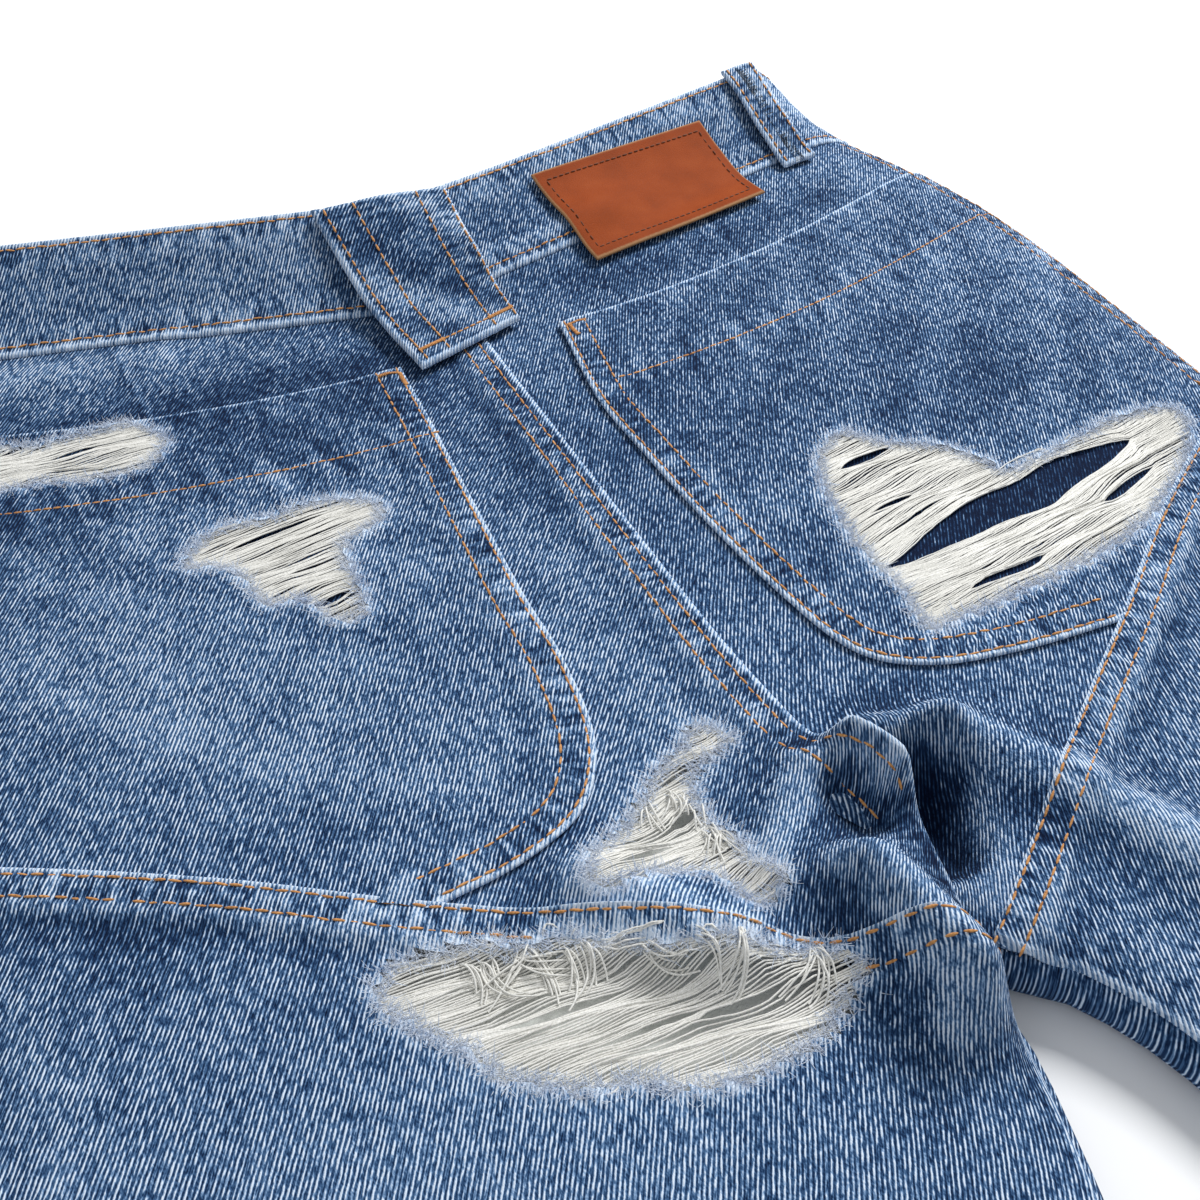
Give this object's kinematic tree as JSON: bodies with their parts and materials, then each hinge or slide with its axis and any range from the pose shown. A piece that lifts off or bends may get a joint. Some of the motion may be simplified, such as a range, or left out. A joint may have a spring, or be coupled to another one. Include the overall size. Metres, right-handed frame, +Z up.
{
  "type": "ripped jeans",
  "caption": "Ripped blue denim jeans lying flat, back side up, with two large back patch pockets, a wide centre belt loop, a plain leather patch and torn openings with loose threads.",
  "frame": {"origin": "on the surface the garment lies on, under the middle of its bounding box", "axes": "+Z up from the surface, +Y along the garment from the leg hems towards the waist, +X towards the wearer's right, because the back is uppermost"},
  "size_m": [0.6694, 1.156, 0.0576],
  "materials": {
    "denim": "faded indigo twill with orange topstitching, white worn seam edges and frayed rips",
    "leather": "tan leather, matt, with a raw cut edge",
    "cotton": "plain white cotton",
    "copper": "brushed copper"
  },
  "bodies": {
    "root": {"seat_left": "denim", "seat_right": "denim", "back_leg_left": "denim", "back_leg_right": "denim", "front_left": "denim", "front_right": "denim", "back_pocket_left": "denim", "back_pocket_right": "denim", "waistband_back": "denim", "waistband_front_left": "denim", "waistband_front_right": "denim", "belt_loop_centre": "denim", "belt_loop_left": "denim", "belt_loop_right": "denim", "fly_shield": "denim", "leather_patch": "leather", "pocket_bag_left": "cotton", "zip": "copper", "zip_slider": "copper", "waist_button": "copper"}
  },
  "joints": []
}
